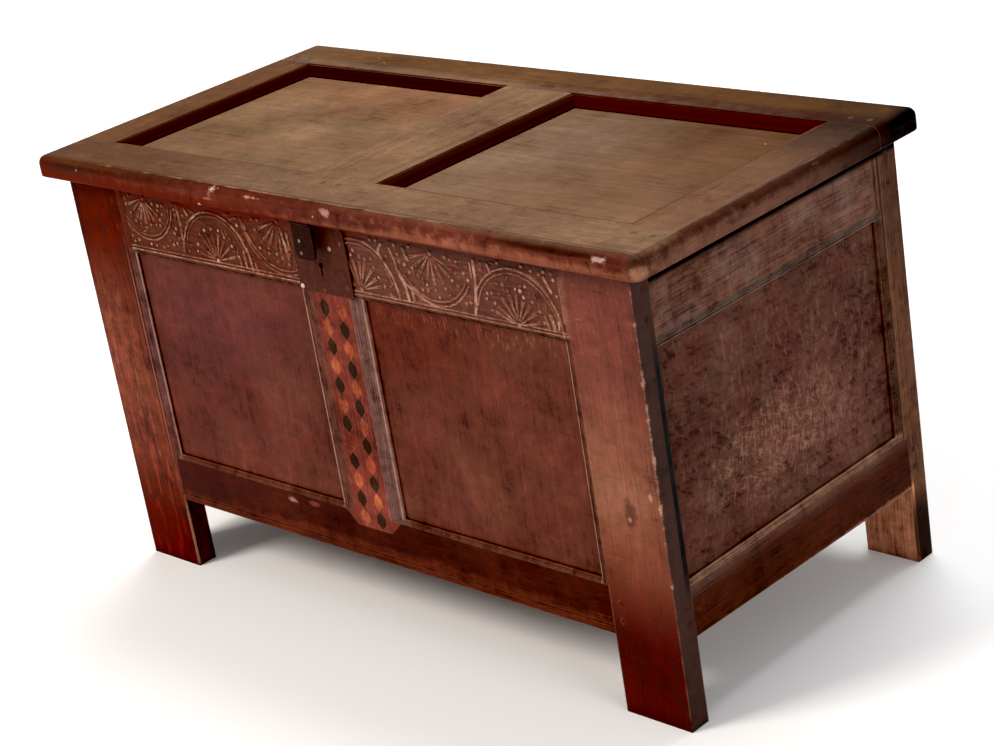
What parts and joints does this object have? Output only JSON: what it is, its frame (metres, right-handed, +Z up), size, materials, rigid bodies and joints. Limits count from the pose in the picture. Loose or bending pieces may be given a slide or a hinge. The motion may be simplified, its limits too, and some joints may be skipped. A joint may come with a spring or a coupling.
{
  "type": "coffer chest",
  "caption": "Joined coffer chest on plank feet, with a panelled lid, carved frieze, inlaid muntin, iron lock plate and hanging hasp.",
  "frame": {"origin": "on the ground under the middle of the lid, the widest part", "axes": "+X along the length to the right as seen from the front, +Y from the front to the back, +Z up"},
  "size_m": [1.07, 0.528, 0.606],
  "materials": {
    "oak_lid": "old waxed oak, faded grey-brown and worn matt",
    "oak_front": "old oak, stained red-brown, dull wax",
    "oak_side": "old oak, stained brown, dusty dull wax",
    "oak_inside": "plain oak, left from the saw and plane",
    "oak_pegs": "riven oak pegs, dark at the end grain",
    "bog_oak": "black bog oak inlay, waxed",
    "fruitwood": "orange-stained fruitwood inlay, waxed",
    "iron": "hand-forged iron, brown patina, dull"
  },
  "bodies": {
    "carcass": {"edge_strip_left": "oak_side", "edge_strip_right": "oak_side", "floor_board_1": "oak_inside", "floor_board_2": "oak_inside", "floor_board_3": "oak_inside", "floor_board_4": "oak_inside", "hinge_leaf_back_left": "iron", "hinge_leaf_back_right": "iron", "hinge_nails_back": "iron", "hinge_pin_left": "iron", "hinge_pin_right": "iron", "inlay_dark": "bog_oak", "inlay_light": "fruitwood", "lock_bolt_guides": "iron", "lock_case": "iron", "lock_key_pin": "iron", "lock_nails": "iron", "lock_plate": "iron", "lock_rivet": "iron", "lock_spring": "iron", "muntin_back": "oak_inside", "muntin_front": "oak_front", "panel_back_left": "oak_inside", "panel_back_right": "oak_inside", "panel_front_left": "oak_front", "panel_front_right": "oak_front", "panel_side_left": "oak_side", "panel_side_right": "oak_side", "pegs_back": "oak_pegs", "pegs_front": "oak_pegs", "pegs_sides": "oak_pegs", "post_back_left": "oak_side", "post_back_right": "oak_side", "post_front_left": "oak_front", "post_front_right": "oak_front", "rail_back_bottom": "oak_inside", "rail_back_top": "oak_inside", "rail_front_bottom": "oak_front", "rail_front_top": "oak_front", "rail_side_bottom_left": "oak_side", "rail_side_bottom_right": "oak_side", "rail_side_top_left": "oak_side", "rail_side_top_right": "oak_side"},
    "lid": {"hasp_leaf": "iron", "hasp_pin": "iron", "hinge_leaf_lid_left": "iron", "hinge_leaf_lid_right": "iron", "lid_muntin": "oak_lid", "lid_nails": "iron", "lid_panel_left": "oak_lid", "lid_panel_right": "oak_lid", "lid_rail_back": "oak_lid", "lid_rail_front": "oak_lid", "lid_stile_left": "oak_lid", "lid_stile_right": "oak_lid", "pegs_lid": "oak_pegs"},
    "hasp": {"hasp_staple": "iron", "hasp_strap": "iron"},
    "bolt": {"lock_bolt": "iron"}
  },
  "joints": [
    {"name": "lid_hinge", "type": "hinge", "parent": "carcass", "child": "lid", "pos_m": [0, 0.2592, 0.574], "axis": [-1, 0, 0], "range_deg": [0, 100]},
    {"name": "hasp_hinge", "type": "hinge", "parent": "lid", "child": "hasp", "pos_m": [-0.01, -0.257, 0.5748], "axis": [-1, 0, 0], "range_deg": [-16.5, 88]},
    {"name": "bolt_slide", "type": "slide", "parent": "carcass", "child": "bolt", "axis": [-1, 0, 0], "range_m": [0, 0.009]}
  ]
}
